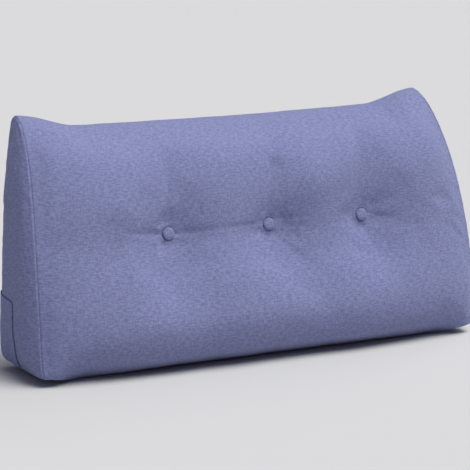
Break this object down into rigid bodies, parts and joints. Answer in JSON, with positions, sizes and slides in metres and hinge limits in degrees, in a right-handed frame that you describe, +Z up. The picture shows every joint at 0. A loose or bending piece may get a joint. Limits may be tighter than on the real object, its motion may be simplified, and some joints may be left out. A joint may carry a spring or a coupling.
{
  "type": "wedge back cushion",
  "caption": "Triangular wedge back cushion with a sloping, button-tufted front, flat back, narrow flat base and a closure flap round the foot of its back.",
  "frame": {"origin": "bottom centre of the bounding box, on the surface that the cushion stands on", "axes": "+X along the cushion's length to the right of someone facing its front, +Y towards its flat back, +Z up"},
  "size_m": [1.0386, 0.246, 0.5065],
  "materials": {
    "body_cloth": "matte, blue-violet heathered linen-look weave",
    "flap_cloth": "matte, the same heathered weave as the body",
    "button_cloth": "matte, the same weave stretched over a domed button"
  },
  "bodies": {
    "root": {"cushion_body": "body_cloth", "closure_flap": "flap_cloth", "button_left": "button_cloth", "button_middle": "button_cloth", "button_right": "button_cloth"}
  },
  "joints": []
}
